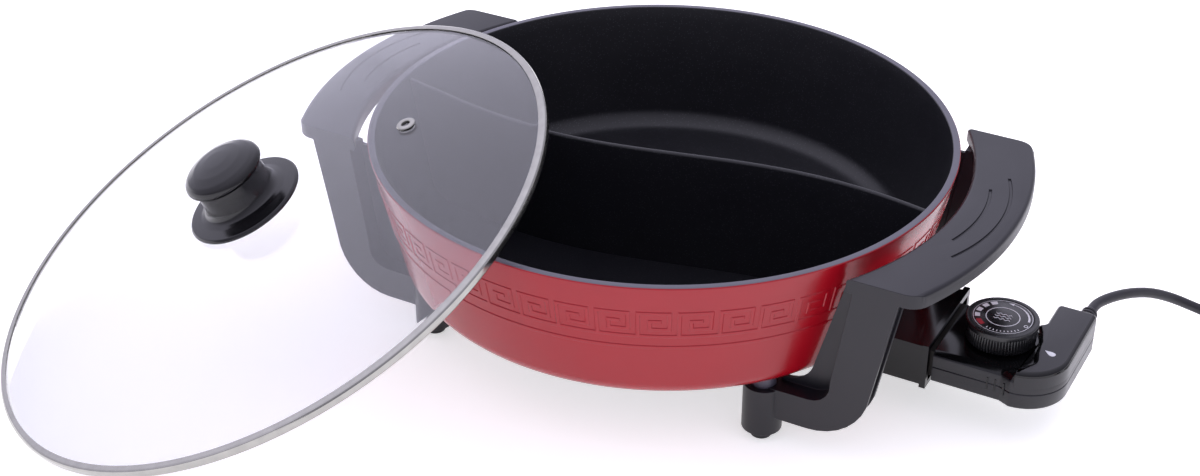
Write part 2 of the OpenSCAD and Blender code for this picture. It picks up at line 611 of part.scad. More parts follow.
pan_body();
divider();
heating_element();
terminal_pins();
terminal_insulators();
probe_well();
earth_tab();
socket_shroud();
shroud_screws();
handle_right();
handle_left();
handle_screws();
handle_washers();
foot_front_right();
foot_front_left();
foot_rear_right();
foot_rear_left();
lid_glass();
lid_rim();
lid_vent();
knob_base();
knob_cap();
knob_screw();
knob_seals();
controller_top();
controller_bottom();
controller_nose();
contact_sockets();
sensing_probe();
thermostat_frame();
bimetal_strip();
contact_blade();
contact_rivets();
ceramic_spacers();
wire_terminals();
controller_screws();
dial();
dial_face();
dial_spindle();
spindle_clip();
thermostat_cam();
cord_relief();
power_cord();
cord_coil();
cord_end();
plug_body();
plug_pins();
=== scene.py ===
import math
import bmesh
import bpy
import numpy as np
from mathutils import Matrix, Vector


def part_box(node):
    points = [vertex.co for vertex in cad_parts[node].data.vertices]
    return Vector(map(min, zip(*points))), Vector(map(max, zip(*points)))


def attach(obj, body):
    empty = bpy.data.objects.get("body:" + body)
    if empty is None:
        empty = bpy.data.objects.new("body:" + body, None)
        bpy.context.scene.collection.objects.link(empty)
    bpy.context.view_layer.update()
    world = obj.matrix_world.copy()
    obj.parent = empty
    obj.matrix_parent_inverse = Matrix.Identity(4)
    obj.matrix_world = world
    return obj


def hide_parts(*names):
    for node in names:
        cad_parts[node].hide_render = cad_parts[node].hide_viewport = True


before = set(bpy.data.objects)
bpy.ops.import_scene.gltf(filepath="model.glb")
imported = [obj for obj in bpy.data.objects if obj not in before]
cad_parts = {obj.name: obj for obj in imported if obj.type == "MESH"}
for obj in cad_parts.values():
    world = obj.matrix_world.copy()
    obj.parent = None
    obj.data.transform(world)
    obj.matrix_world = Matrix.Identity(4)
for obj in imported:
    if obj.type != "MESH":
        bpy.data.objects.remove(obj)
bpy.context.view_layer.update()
mm = 0.001      # sizes below are in millimetres
print("frame loaded:", len(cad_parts), "nodes")


# lowest and highest corner of a CAD node
def boxOf(name):
    low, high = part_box(name)
    return np.array(low) / mm, np.array(high) / mm


# points of a circle's arc in a plane, from one angle to another in degrees
def arc(centre, radius, first, last, count):
    angle = np.radians(np.linspace(first, last, count))
    return np.c_[centre[0] + radius * np.cos(angle), centre[1] + radius * np.sin(angle)]


# each corner gives way to an arc that touches both of its edges, and all arcs get the same number of points
def filleted(corners, radii, steps=6, closed=True):
    corners = np.asarray(corners, float)
    radii = np.broadcast_to(np.asarray(radii, float), len(corners))
    points = []
    for i, (corner, radius) in enumerate(zip(corners, radii)):
        if not closed and i in (0, len(corners) - 1):
            points.append(corner[None])
            continue
        back = corners[i - 1] - corner
        ahead = corners[(i + 1) % len(corners)] - corner
        room = 0.499 * min(np.linalg.norm(back), np.linalg.norm(ahead))
        back, ahead = back / np.linalg.norm(back), ahead / np.linalg.norm(ahead)
        half = math.acos(np.clip(back @ ahead, -1, 1)) / 2
        radius = min(max(radius, 1e-4), room * math.tan(half))
        centre = corner + (back + ahead) / np.linalg.norm(back + ahead) * radius / math.sin(half)
        a = corner + back * radius / math.tan(half) - centre
        b = corner + ahead * radius / math.tan(half) - centre
        sweep = math.pi - 2 * half
        s = np.linspace(0, 1, steps + 1)[:, None]
        points.append(centre + (np.sin((1 - s) * sweep) * a + np.sin(s * sweep) * b) / math.sin(sweep))
    return np.concatenate(points)


# every profile point (radius, height) goes once round the axis
def turned(profile, count, centre=(0, 0)):
    profile = np.asarray(profile, float)
    angle = np.linspace(0, 2 * math.pi, count, endpoint=False)
    x = centre[0] + profile[:, :1] * np.cos(angle)
    y = centre[1] + profile[:, :1] * np.sin(angle)
    return np.stack([x, y, np.broadcast_to(profile[:, 1:], x.shape)], -1)


# a counter-clockwise outline moved inwards by its own normals, one loop for each (inset, height)
def stacked(outline, layers):
    ahead = np.roll(outline, -1, 0) - outline
    back = outline - np.roll(outline, 1, 0)
    size = lambda v: np.maximum(np.linalg.norm(v, axis=1, keepdims=True), 1e-9)
    mean = ahead / size(ahead) + back / size(back)
    mean = mean / size(mean)
    inward = np.c_[-mean[:, 1], mean[:, 0]]
    return np.stack([np.c_[outline + inset * inward, np.full(len(outline), z)] for inset, z in layers])


# both ends of a stack of loops are closed by a point at the loop's middle
def capped(loops):
    first, last = loops[0].mean(0), loops[-1].mean(0)
    ends = [np.broadcast_to(p, loops[0].shape)[None] for p in (first, last)]
    return np.concatenate([ends[0], loops, ends[1]])


# quads between neighbours of a grid of points; the columns wrap round, and the rows do where they are closed
def gridFaces(rows, columns, closeRows):
    i, j = np.meshgrid(np.arange(rows if closeRows else rows - 1), np.arange(columns), indexing="ij")
    i2, j2 = (i + 1) % rows, (j + 1) % columns
    return np.stack([i * columns + j, i2 * columns + j, i2 * columns + j2, i * columns + j2], -1)


# one closed skin: a grid, with its first and last loops filled where ends is true; the faces are turned so
# that the volume inside is positive, and each has a material number
def skin(grid, mark=0, closeRows=False, ends=False, endMark=0):
    rows, columns = grid.shape[:2]
    faces = gridFaces(rows, columns, closeRows)
    if np.ndim(mark) == 1:
        mark = np.asarray(mark)[:, None]
    marks = np.broadcast_to(mark, faces.shape[:2])
    faces, marks = faces.reshape(-1, 4), marks.reshape(-1)
    points = grid.reshape(-1, 3)
    middle = points - points.mean(0)
    a, b, c, d = (middle[faces[:, k]] for k in range(4))
    volume = (np.einsum("ij,ij->i", a, np.cross(b, c)) + np.einsum("ij,ij->i", a, np.cross(c, d))).sum()
    faces = faces.tolist()
    if ends:
        first, last = np.arange(columns), np.arange(columns) + (rows - 1) * columns
        for loop in (first[::-1], last):
            turn = middle[loop]
            volume -= np.cross(turn, np.roll(turn, -1, 0)).sum(0) @ turn.mean(0)
        faces += [first.tolist(), last[::-1].tolist()]
        marks = np.r_[marks, endMark, endMark]
    return points, faces if volume > 0 else [face[::-1] for face in faces], marks


# joins skins into one mesh, closes seams and poles, and hangs it on its body
def addPiece(name, body, skins, materials, stands=(), crease=34):
    start, points, faces, marks = 0, [], [], []
    for skinPoints, skinFaces, skinMarks in skins:
        points.append(skinPoints)
        faces += [[start + k for k in face] for face in skinFaces]
        marks.append(skinMarks)
        start += len(skinPoints)
    mesh = bpy.data.meshes.new(name)
    mesh.from_pydata((np.concatenate(points) * mm).tolist(), [], faces)
    mesh.polygons.foreach_set("material_index", np.concatenate(marks).astype(np.int32))
    for material in materials:
        mesh.materials.append(material)
    work = bmesh.new()
    work.from_mesh(mesh)
    bmesh.ops.remove_doubles(work, verts=work.verts, dist=2e-7)
    bmesh.ops.dissolve_degenerate(work, edges=work.edges, dist=1e-8)
    work.to_mesh(mesh)
    work.free()
    mesh.shade_smooth()
    mesh.set_sharp_from_angle(angle=math.radians(crease))
    piece = bpy.data.objects.new(name, mesh)
    bpy.context.scene.collection.objects.link(piece)
    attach(piece, body)
    if stands:
        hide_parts(*stands)
    return piece


# a Bevel modifier that rounds the edges sharper than the crease
def softened(piece, width, segments=2, angle=40):
    bevel = piece.modifiers.new("edges", "BEVEL")
    bevel.width = width * mm
    bevel.segments = segments
    bevel.limit_method = "ANGLE"
    bevel.angle_limit = math.radians(angle)
    bevel.harden_normals = False
    return piece


# sRGB hex to linear light: a straight line near black and a power of 2.4 above it
def linear(colour):
    parts = [int(colour[i:i + 2], 16) / 255 for i in (1, 3, 5)]
    return [p / 12.92 if p <= 0.04045 else ((p + 0.055) / 1.055) ** 2.4 for p in parts] + [1.0]


# adds a node; links maps an input to a socket or a value, and the rest are the node's own settings
def addNode(tree, kind, links=None, **settings):
    node = tree.nodes.new("ShaderNode" + kind)
    for key, value in settings.items():
        setattr(node, key, value)
    for key, value in (links or {}).items():
        if isinstance(value, bpy.types.NodeSocket):
            tree.links.new(value, node.inputs[key])
        else:
            node.inputs[key].default_value = value
    return node


# a shader with two mottled colours, an uneven roughness and a fine grain; patch and grain are in millimetres
def finish(name, colour, second, patch, rough, roughSwing=0.05, grain=0.5, depth=0.02, **shaderInputs):
    material = bpy.data.materials.new(name)
    material.use_nodes = True
    tree = material.node_tree
    tree.nodes.clear()
    place = addNode(tree, "TexCoord").outputs["Object"]
    blotch = addNode(tree, "TexNoise", {"Vector": place, "Scale": 1000 / patch, "Detail": 4.0})
    mix = addNode(tree, "Mix", {"Factor": blotch.outputs["Fac"], "A": linear(colour), "B": linear(second)},
                  data_type="RGBA")
    sheen = addNode(tree, "MapRange", {"Value": blotch.outputs["Fac"], "To Min": rough - roughSwing,
                                       "To Max": rough + roughSwing})
    fine = addNode(tree, "TexNoise", {"Vector": place, "Scale": 1000 / grain, "Detail": 2.0})
    bump = addNode(tree, "Bump", {"Height": fine.outputs["Fac"], "Distance": depth * mm, "Strength": 1.0})
    shader = addNode(tree, "BsdfPrincipled", {"Base Color": mix.outputs["Result"],
                                              "Roughness": sheen.outputs["Result"],
                                              "Normal": bump.outputs["Normal"], **shaderInputs})
    addNode(tree, "OutputMaterial", {"Surface": shader.outputs["BSDF"]})
    return material


def redEnamel():    # stoved silicone enamel, sprayed: deep red under a clear gloss with faint orange peel
    return finish("stoved red enamel", "#9b0b1b", "#8f0816", 40, 0.24, 0.04, grain=2.2, depth=0.012,
                  **{"Coat Weight": 0.12, "Coat Roughness": 0.08, "IOR": 1.42})


speck = {"spacing": 1.6, "solid": 0.16, "gone": 0.24, "share": 0.16, "colour": "#6e6e76"}


def speckledCoat():     # sprayed PTFE non-stick with pale mineral specks, a soft sheen over near-black
    material = finish("sprayed non-stick coating", "#131317", "#16161a", 30, 0.34, 0.05, grain=0.8,
                      depth=0.012, **{"IOR": 1.42})
    tree = material.node_tree
    shader = next(n for n in tree.nodes if n.type == "BSDF_PRINCIPLED")
    under = shader.inputs["Base Color"].links[0].from_socket
    place = next(n for n in tree.nodes if n.type == "TEX_COORD").outputs["Object"]
    specks = addNode(tree, "TexVoronoi", {"Vector": place, "Scale": 1000 / speck["spacing"]})
    dots = addNode(tree, "MapRange", {"Value": specks.outputs["Distance"], "From Min": speck["solid"],
                                      "From Max": speck["gone"], "To Min": speck["share"], "To Max": 0.0})
    mixed = addNode(tree, "Mix", {"Factor": dots.outputs["Result"], "A": under, "B": linear(speck["colour"])},
                    data_type="RGBA")
    tree.links.new(mixed.outputs["Result"], shader.inputs["Base Color"])
    return material


def rimGrey():      # turned aluminium edge under a thin grey coat, satin
    return finish("coated rim", "#504e59", "#474550", 20, 0.36, 0.05, grain=0.6, depth=0.01,
                  **{"IOR": 1.5})


def castAluminium():    # bare die-cast aluminium, matt and slightly grainy
    return finish("die-cast aluminium", "#8c8d92", "#7b7c82", 12, 0.45, 0.08, grain=0.7, depth=0.03,
                  **{"Metallic": 0.9})


def handlePhenolic():   # moulded phenolic, spark-eroded satin surface in anthracite
    return finish("moulded phenolic", "#15141b", "#111016", 25, 0.36, 0.05, grain=0.45, depth=0.02,
                  **{"IOR": 1.46})


def knobPhenolic():     # moulded phenolic, smoother than the handles, near black
    return finish("polished phenolic", "#09090b", "#0c0b0e", 18, 0.2, 0.05, grain=0.5, depth=0.008,
                  **{"IOR": 1.47})


def glossyBlack():      # moulded phenolic from a polished tool, black with sharp reflections
    return finish("gloss-moulded phenolic", "#070708", "#0a0a0c", 25, 0.12, 0.04, grain=1.2, depth=0.004,
                  **{"IOR": 1.42})


def controllerShell():  # moulded PBT, satin with a violet cast where the light rakes over it
    return finish("moulded PBT", "#121117", "#0e0d12", 14, 0.3, 0.06, grain=0.4, depth=0.015,
                  **{"IOR": 1.48})


def dialBlack():    # moulded ABS, black with a soft gloss
    return finish("moulded black ABS", "#0f0f11", "#151518", 10, 0.28, 0.06, grain=0.5, depth=0.006,
                  **{"IOR": 1.53})


def printInk(name, colour, second):     # pad-printed ink, thin and slightly uneven
    return finish(name, colour, second, 1.2, 0.5, 0.06, grain=0.3, depth=0.004)


def polishedSteel():    # rolled and polished stainless strip, bright with faint lengthways haze
    return finish("polished stainless steel", "#a9a8a2", "#94938e", 6, 0.14, 0.05, grain=0.8, depth=0.002,
                  **{"Metallic": 1.0})


def nickelPlate():      # nickel-plated steel, warm grey metal
    return finish("nickel-plated steel", "#b4b0a8", "#a39f97", 4, 0.28, 0.06, grain=0.4, depth=0.004,
                  **{"Metallic": 1.0})


def heatedSheath():     # stainless sheath tinted by heat, straw to blue-grey
    return finish("heat-tinted steel sheath", "#6b625a", "#4c4c55", 22, 0.38, 0.08, grain=0.4, depth=0.006,
                  **{"Metallic": 1.0})


def turnedBrass():      # machined brass, slightly tarnished
    return finish("turned brass", "#b5924c", "#9c7a3c", 5, 0.3, 0.07, grain=0.3, depth=0.004,
                  **{"Metallic": 1.0})


def bronzeStrip():      # rolled phosphor bronze and bimetal strip
    return finish("rolled bronze strip", "#a8744c", "#8f6240", 6, 0.32, 0.06, grain=0.4, depth=0.004,
                  **{"Metallic": 1.0})


def steatite():     # pressed and fired steatite, off-white and matt
    return finish("fired steatite", "#ddd6c6", "#cfc7b5", 3, 0.6, 0.06, grain=0.3, depth=0.02)


def heatproofMoulding():    # mica-filled phenolic, brown-black and matt
    return finish("mica-filled phenolic", "#2c2824", "#231f1c", 6, 0.5, 0.06, grain=0.35, depth=0.02)


def naturalNylon():     # unpigmented nylon
    return finish("natural nylon", "#d8cfb8", "#cbc1a8", 5, 0.45, 0.05, grain=0.4, depth=0.01)


def footRubber():   # compression-moulded rubber, matt black
    return finish("moulded rubber", "#17171a", "#1f1f23", 6, 0.62, 0.06, grain=0.5, depth=0.03)


def cordRubber():   # extruded rubber sheath, dark grey with a soft sheen
    return finish("extruded rubber sheath", "#1a1920", "#15141a", 12, 0.46, 0.06, grain=0.6, depth=0.02)


def toughenedGlass():   # pressed soda-lime glass, toughened: clear with a faint grey cast in the thickness
    material = bpy.data.materials.new("toughened glass")
    material.use_nodes = True
    tree = material.node_tree
    tree.nodes.clear()
    place = addNode(tree, "TexCoord").outputs["Object"]
    ripple = addNode(tree, "TexNoise", {"Vector": place, "Scale": 1000 / 60, "Detail": 1.0})
    bump = addNode(tree, "Bump", {"Height": ripple.outputs["Fac"], "Distance": 0.05 * mm, "Strength": 1.0})
    shader = addNode(tree, "BsdfPrincipled", {"Base Color": linear("#f0f0f3"), "Roughness": 0.02,
                                              "Transmission Weight": 1.0, "IOR": 1.55,
                                              "Normal": bump.outputs["Normal"]})
    addNode(tree, "OutputMaterial", {"Surface": shader.outputs["BSDF"]})
    return material


red, coat, rimCoat, alloy = redEnamel(), speckledCoat(), rimGrey(), castAluminium()
handleMatt, knobMatt, gloss, shellMatt = handlePhenolic(), knobPhenolic(), glossyBlack(), controllerShell()
dialMatt, steel, nickel, sheath = dialBlack(), polishedSteel(), nickelPlate(), heatedSheath()
brass, bronze, ceramic, heatproof = turnedBrass(), bronzeStrip(), steatite(), heatproofMoulding()
nylon, rubber, cordSkin, glass = naturalNylon(), footRubber(), cordRubber(), toughenedGlass()
whiteInk = printInk("white pad print", "#e6e6ea", "#d8d8dc")
redInk = printInk("red pad print", "#b01c2c", "#a01826")
print("materials made")


view = {"azimuth": 28.6, "elevation": 31.67, "distance": 1145.9, "target": (-31.6, -17.2, 47.3),
        "lens": 58.89}


# looks at the target from an azimuth round it and an elevation over it
def addCamera():
    turn, rise = math.radians(view["azimuth"]), math.radians(view["elevation"])
    back = Vector((math.sin(turn) * math.cos(rise), -math.cos(turn) * math.cos(rise), math.sin(rise)))
    data = bpy.data.cameras.new("camera")
    data.lens = view["lens"]
    data.sensor_width = 36
    data.clip_start, data.clip_end = 0.05, 20
    camera = bpy.data.objects.new("camera", data)
    camera.location = (Vector(view["target"]) + back * view["distance"]) * mm
    camera.rotation_mode = "QUATERNION"
    camera.rotation_quaternion = back.to_track_quat("Z", "Y")
    bpy.context.scene.collection.objects.link(camera)
    bpy.context.scene.camera = camera


# a white tent: dim at table height, brighter overhead, and brightest round one side
studio = {"tint": (0.93, 0.91, 1.1, 1), "low": 0.45, "overhead": 0.75, "glow": 0.6,
          "glowFrom": (-0.76, 0.39, 0.52), "glowStart": 0.1,
          "floor": ("#f8f7f4", "#fbfaf7"), "floorGlow": 0.55, "floorReach": 6, "floorDrop": 0.0002}
lamps = [   # place, what it faces, size, power, and whether it shows in reflections
    {"name": "key", "at": (-0.9, -0.3, 1.5), "to": (0, 0, 0.05), "size": 1.0, "power": 5, "shows": False},
    {"name": "back", "at": (0.3, 1.4, 1.1), "to": (0, 0, 0.1), "size": 0.9, "power": 4, "shows": False},
]


# the world's light is a straight rise with height plus a smooth rise towards one side; then lamps and a floor
def addStudio():
    scene = bpy.context.scene
    scene.view_settings.view_transform = "Standard"
    world = bpy.data.worlds.new("studio")
    world.use_nodes = True
    tree = world.node_tree
    tree.nodes.clear()
    toward = addNode(tree, "TexCoord").outputs["Generated"]
    height = addNode(tree, "SeparateXYZ", {"Vector": toward}).outputs["Z"]
    rising = addNode(tree, "MapRange", {"Value": height, "To Min": studio["low"],
                                        "To Max": studio["low"] + studio["overhead"]})
    aim = addNode(tree, "VectorMath", {0: toward, 1: studio["glowFrom"]}, operation="DOT_PRODUCT")
    glow = addNode(tree, "MapRange", {"Value": aim.outputs["Value"], "From Min": studio["glowStart"],
                                      "To Max": studio["glow"]}, interpolation_type="SMOOTHSTEP")
    total = addNode(tree, "Math", {0: rising.outputs["Result"], 1: glow.outputs["Result"]}, operation="ADD")
    back = addNode(tree, "Background", {"Color": studio["tint"], "Strength": total.outputs["Value"]})
    addNode(tree, "OutputWorld", {"Surface": back.outputs["Background"]})
    scene.world = world
    for lamp in lamps:
        data = bpy.data.lights.new(lamp["name"], "AREA")
        data.shape = "DISK"
        data.size = lamp["size"]
        data.energy = lamp["power"]
        light = bpy.data.objects.new(lamp["name"], data)
        light.location = lamp["at"]
        light.visible_glossy = light.visible_transmission = lamp["shows"]
        light.rotation_mode = "QUATERNION"
        light.rotation_quaternion = (Vector(lamp["at"]) - Vector(lamp["to"])).to_track_quat("Z", "Y")
        scene.collection.objects.link(light)
    mesh = bpy.data.meshes.new("floor")
    corners = np.array([(-1, -1, 0), (1, -1, 0), (1, 1, 0), (-1, 1, 0)]) * studio["floorReach"]
    mesh.from_pydata(corners.tolist(), [], [(0, 1, 2, 3)])
    mesh.materials.append(finish("lit acrylic table", *studio["floor"], 400, 0.8, 0.02, grain=4, depth=0.01,
                                 **{"Emission Color": (1, 1, 1, 1),
                                    "Emission Strength": studio["floorGlow"]}))
    floor = bpy.data.objects.new("floor", mesh)
    floor.location.z = -studio["floorDrop"]
    scene.collection.objects.link(floor)


addCamera()
addStudio()
print("camera, light and floor made")


cord = {"diameter": 6, "sides": 14, "steps": [      # from the strain relief to the coil
            (0, 0, 0), (1, 10, 0), (6, 23, -1.5), (13.5, 38, -5), (22, 53, -11), (32, 66, -19),
            (45, 75, -27), (60, 79, -32), (78, 78, -32.4), (95, 75, -32.4), (112, 71, -32.4)],
        "coilRadius": 33, "coilTurns": (2, 2.25), "perTurn": 28, "climb": 0.25,
        "endSteps": [(0, 0, 0), (-0.5, -13, 0.5), (-3.5, -26, 2), (-8, -38, 3.5), (-10, -50, 4)]}


# winds clockwise: inwards over the first turns on the surface, then outwards on top of them
def coilPath(centre):
    wide = cord["coilRadius"] + cord["diameter"]
    narrow = cord["coilRadius"] - cord["diameter"]
    lower, upper = cord["coilTurns"]
    turn = np.linspace(0, lower + upper, round((lower + upper) * cord["perTurn"]) + 1)[1:-1]
    radius = np.where(turn < lower, wide + (narrow - wide) * turn / lower,
                      narrow + (wide - narrow) * (turn - lower) / upper)
    climb = np.clip((turn - lower + cord["climb"]) / (2 * cord["climb"]), 0, 1)
    z = cord["diameter"] * (0.5 + climb * climb * (3 - 2 * climb)) + 0.05
    angle = math.pi / 2 - 2 * math.pi * turn
    return np.c_[centre[0] + radius * np.cos(angle), centre[1] + radius * np.sin(angle), z]


# a smooth curve through the points: on each stretch a cubic whose end slopes follow the neighbours
def smoothed(points, each):
    points = np.asarray(points, float)
    lead = np.vstack([2 * points[0] - points[1], points, 2 * points[-1] - points[-2]])
    t = np.linspace(0, 1, each, endpoint=False)[None, :, None]
    p0, p1, p2, p3 = (lead[k:len(lead) - 3 + k, None] for k in range(4))
    curve = p1 + 0.5 * t * (p2 - p0 + t * (2 * p0 - 5 * p1 + 4 * p2 - p3 + t * (3 * (p1 - p2) + p3 - p0)))
    return np.vstack([curve.reshape(-1, 3), points[-1:]])


# circles square to a path, each turned so that its side direction is level
def tube(path, radius, sides):
    ahead = np.gradient(path, axis=0)
    ahead /= np.linalg.norm(ahead, axis=1, keepdims=True)
    side = np.cross(ahead, (0, 0, 1))
    side /= np.linalg.norm(side, axis=1, keepdims=True)
    up = np.cross(side, ahead)
    angle = np.linspace(0, 2 * math.pi, sides, endpoint=False)
    return path[:, None] + radius * (np.cos(angle)[None, :, None] * side[:, None]
                                     + np.sin(angle)[None, :, None] * up[:, None])


reliefLow, reliefHigh = boxOf("cord_relief")
cordStart = np.array([(reliefLow[0] + reliefHigh[0]) / 2, reliefHigh[1], (reliefLow[2] + reliefHigh[2]) / 2])
freePart = cordStart + np.array(cord["steps"], float)
coilEdge = cord["coilRadius"] + cord["diameter"]
coilCentre = freePart[-1] - [0, coilEdge, 0]
endStart = np.array([coilCentre[0] + coilEdge, coilCentre[1], 1.5 * cord["diameter"]])
endPart = endStart + np.array(cord["endSteps"], float)
cordRoute = np.vstack([freePart, coilPath(coilCentre), endPart])
cordLine = smoothed(cordRoute, 3)


# a rounded rectangle as a closed loop of (across, up) points
def roundedLoop(halfWide, halfHigh, radius, steps=5):
    corners = [(halfWide, -halfHigh), (halfWide, halfHigh), (-halfWide, halfHigh), (-halfWide, -halfHigh)]
    return filleted(corners, radius, steps)


plug = {"length": 48, "boot": 18, "bootStart": 4, "bootEnd": 6, "flare": 3, "wide": 13, "high": 12.8,
        "round": 5, "edge": 1.5, "grips": 4, "gripFrom": 24, "gripTo": 42, "gripDepth": 0.7, "gripTop": 0.3}


# rounded loops along -Y: a straight taper on the boot, then a body that nears its full size exponentially,
# with finger grooves as the upper halves of a sine
def plugBody(start):
    p = plug
    rows = []
    along = np.r_[np.linspace(0, p["boot"], 7), np.linspace(p["boot"] + 0.5, p["length"] - p["edge"], 29),
                  p["length"] - 0.7, p["length"]]
    for y in along:
        if y <= p["boot"]:
            wide = high = p["bootStart"] + (p["bootEnd"] - p["bootStart"]) * y / p["boot"]
            corner = wide * 0.999
        else:
            spread = 1 - math.exp(-(y - p["boot"]) / p["flare"])
            share = (y - p["gripFrom"]) / (p["gripTo"] - p["gripFrom"])
            groove = p["gripDepth"] * max(0, math.sin(share * math.pi * p["grips"])) if 0 < share < 1 else 0
            wide = p["bootEnd"] + (p["wide"] - p["bootEnd"]) * spread - groove
            high = p["bootEnd"] + (p["high"] - p["bootEnd"]) * spread - groove * p["gripTop"]
            corner = p["bootEnd"] - (p["bootEnd"] - p["round"]) * spread
        edge = max(0, y - (p["length"] - p["edge"])) / p["edge"]
        loop = roundedLoop(wide - edge, high - edge, max(corner - edge, 0.5))
        rows.append(np.c_[start[0] + loop[:, 0], np.full(len(loop), start[1] - y), start[2] + loop[:, 1]])
    return skin(capped(np.stack(rows)))


plugPiece = addPiece("plug", "controller", [plugBody(endPart[-1])], [cordSkin], ["plug_body"])

tie = {"at": -115, "wide": 8, "thick": 0.8}


# a rounded loop bent round the coil's section at one place, kept above the table
def cordTie():
    at = math.radians(tie["at"])
    out = np.array([math.cos(at), math.sin(at), 0])
    along = np.array([-math.sin(at), math.cos(at), 0])
    middle = coilCentre * [1, 1, 0] + out * cord["coilRadius"] + np.array([0, 0, cord["diameter"] + 0.05])
    loop = roundedLoop(cord["diameter"] * 1.5 + 0.5, cord["diameter"] + 0.25, 3, 6)
    rows = []
    for side, grow in ((-1, 0), (-1, tie["thick"]), (1, tie["thick"]), (1, 0)):
        scaled = loop * (1 + grow / np.linalg.norm(loop, axis=1, keepdims=True))
        scaled[:, 1] = np.maximum(scaled[:, 1], -cord["diameter"] + 0.02)
        rows.append(middle + scaled[:, :1] * out + scaled[:, 1:] * [0, 0, 1] + side * tie["wide"] / 2 * along)
    return skin(np.stack(rows), closeRows=True)


tiePiece = addPiece("cord_tie", "controller", [cordTie()], [rubber])
cordGrid = capped(tube(cordLine, cord["diameter"] / 2, cord["sides"]))
cordPiece = addPiece("mains_cord", "controller", [skin(cordGrid)], [cordSkin],
                     ["power_cord", "cord_coil", "cord_end"])
print("cord and plug made")


# the triangles of a CAD node, in millimetres
def trianglesOf(node):
    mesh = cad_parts[node].data
    points = np.empty(len(mesh.vertices) * 3)
    corners = np.empty(len(mesh.loops), int)
    mesh.vertices.foreach_get("co", points)
    mesh.loops.foreach_get("vertex_index", corners)
    return points.reshape(-1, 3) / mm, corners.reshape(-1, 3)


# a merged copy of a CAD node, with the triangles for which keep is true, flat faces joined and edges rounded
def finishedCopy(name, node, body, material, width=0.5, segments=2, keep=None, crease=30):
    points, corners = trianglesOf(node)
    if keep is not None:
        corners = corners[keep(points[corners])]
    mesh = bpy.data.meshes.new(name)
    mesh.from_pydata((points * mm).tolist(), [], corners.tolist())
    mesh.materials.append(material)
    work = bmesh.new()
    work.from_mesh(mesh)
    bmesh.ops.remove_doubles(work, verts=work.verts, dist=2e-6)
    bmesh.ops.delete(work, geom=[v for v in work.verts if not v.link_faces], context="VERTS")
    bmesh.ops.dissolve_limit(work, angle_limit=math.radians(0.6), verts=work.verts, edges=work.edges)
    work.to_mesh(mesh)
    work.free()
    mesh.shade_smooth()
    mesh.set_sharp_from_angle(angle=math.radians(crease))
    piece = bpy.data.objects.new(name, mesh)
    bpy.context.scene.collection.objects.link(piece)
    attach(piece, body)
    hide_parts(node)
    if width:
        softened(piece, width, segments)
    return piece


# gives a CAD node its finish
def dress(material, *names):
    for name in names:
        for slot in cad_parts[name].material_slots:
            slot.material = material


pan = {"base": 40, "floor": 45, "rim": 4.5, "lip": 0.9, "bare": 128,
       "outer": (136.5, 54, 14), "cove": (134.5, 58, 13),       # centre's radius, its height, the arc's radius
       "raise": 0.45, "line": 2.0, "soft": 0.25, "repeats": 48, "pitch": 21, "keyLow": 86.5, "ring": 78.5,
       "key": [(0, 0, 0, 16), (0, 16, 16, 16), (16, 5, 16, 16), (6, 5, 16, 5), (6, 5, 6, 10.5),
               (6, 10.5, 11, 10.5), (0, 0, 21, 0)]}     # bars: from across and up, to across and up
panHigh = boxOf("pan_body")[1]
panRadius, panTop = panHigh[0], panHigh[2]


# the angle at which a line from a point touches a circle, on the side away from the axis
def touchAngle(centre, radius, point):
    across, up = point[0] - centre[0], point[1] - centre[1]
    return math.degrees(math.atan2(up, across) - math.acos(radius / math.hypot(across, up)))


outerTouch = touchAngle(pan["outer"][:2], pan["outer"][2], (panRadius, panTop))
coveTouch = touchAngle(pan["cove"][:2], pan["cove"][2], (panRadius - pan["rim"], panTop))


# radius of the outer wall at a height: the straight line that leans out to the rim
def wallRadius(z):
    return panRadius - (panTop - z) * math.tan(math.radians(-outerTouch))


# inner radius at a height: the leaning wall, and below it the cove's quarter circle
def innerRadius(z):
    x, low, r = pan["cove"]
    z = np.asarray(z, float)
    straight = panRadius - pan["rim"] - (panTop - z) * math.tan(math.radians(-coveTouch))
    bowl = x + np.sqrt(np.maximum(r * r - np.maximum(low - z, 0) ** 2, 0))
    return np.where(z < low + r * math.sin(math.radians(coveTouch)), bowl, straight)


# height of the raised key pattern: full on each bar, sloping to nothing over the soft edge, by the larger of
# the distances across and up to the bar
def keyHeight(u, z):
    half, soft = pan["line"] / 2, pan["soft"]
    u = u % pan["pitch"]
    height = np.zeros(np.broadcast(u, z).shape)
    for x0, z0, x1, z1 in pan["key"]:
        for shift in (-pan["pitch"], 0, pan["pitch"]):
            across = np.maximum(np.maximum(x0 + shift - u, u - x1 - shift), 0)
            up = np.maximum(np.maximum(z0 + pan["keyLow"] - z, z - z1 - pan["keyLow"]), 0)
            away = np.maximum(across, up)
            height = np.maximum(height, np.clip((half + soft - away) / (2 * soft), 0, 1))
    ring = np.abs(z - pan["ring"])
    return np.maximum(height, np.clip((half + soft - ring) / (2 * soft), 0, 1)) * pan["raise"]


